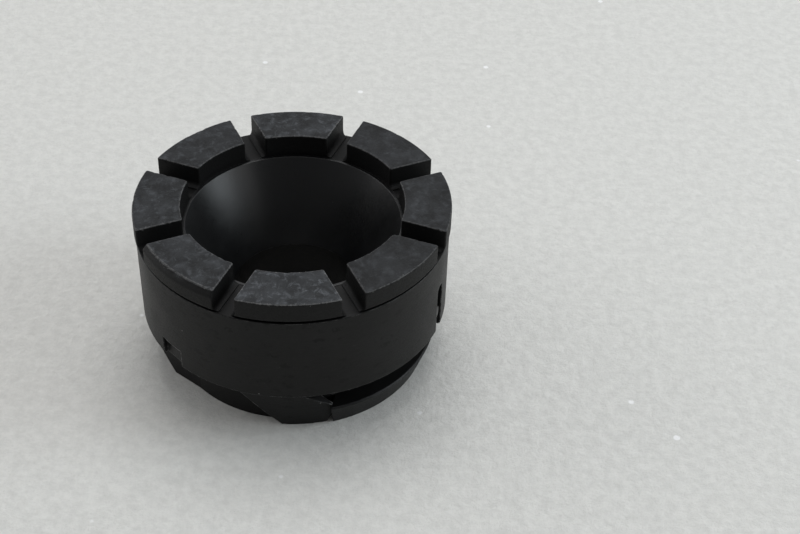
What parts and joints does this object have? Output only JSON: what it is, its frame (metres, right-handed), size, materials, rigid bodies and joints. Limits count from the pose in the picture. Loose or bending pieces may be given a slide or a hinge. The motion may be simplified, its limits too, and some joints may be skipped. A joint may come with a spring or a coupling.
{
  "type": "jaw coupling half",
  "caption": "Sliding jaw coupling half: face jaws on a spring-loaded sleeve round a funnel-mouthed hub, with drive dogs below.",
  "frame": {"origin": "on the coupling's axis, in the plane that it stands on: the base of the hub and the feet of the dogs", "axes": "+Z along the shaft, out of the jaws towards the mating half; -Y towards the jaw at the front of the picture"},
  "size_m": [0.061, 0.061, 0.0345],
  "materials": {
    "jaw_steel": "matt black oxide, rubbed grey on the faces and along the edges",
    "sleeve_steel": "satin black oxide over a turned surface, rubbed at the lower edge",
    "bright_steel": "ground bright",
    "spring_steel": "hardened strip, oiled",
    "washer_steel": "bright, slightly blued",
    "hub_steel": "satin black oxide",
    "cone_steel": "smooth satin black oxide, oiled",
    "screw_steel": "black oxide"
  },
  "bodies": {
    "sleeve": {"jaw_1": "jaw_steel", "jaw_2": "jaw_steel", "jaw_3": "jaw_steel", "jaw_4": "jaw_steel", "jaw_5": "jaw_steel", "jaw_6": "jaw_steel", "jaw_7": "jaw_steel", "jaw_8": "jaw_steel", "sleeve": "sleeve_steel", "jaw_dowels": "bright_steel", "snap_ring": "spring_steel", "wave_spring": "spring_steel"},
    "hub": {"flanged_hub": "hub_steel", "centring_cone": "cone_steel", "cone_screws": "screw_steel", "guide_pin": "bright_steel", "set_screws": "screw_steel", "spring_seat": "washer_steel"}
  },
  "joints": [
    {"name": "hub_slide", "type": "slide", "parent": "sleeve", "child": "hub", "axis": [0, 0, 1], "range_m": [0, 0.0054], "stiffness_N_per_m": 4000, "springref_m": -0.008, "deforming": ["wave_spring"]}
  ]
}
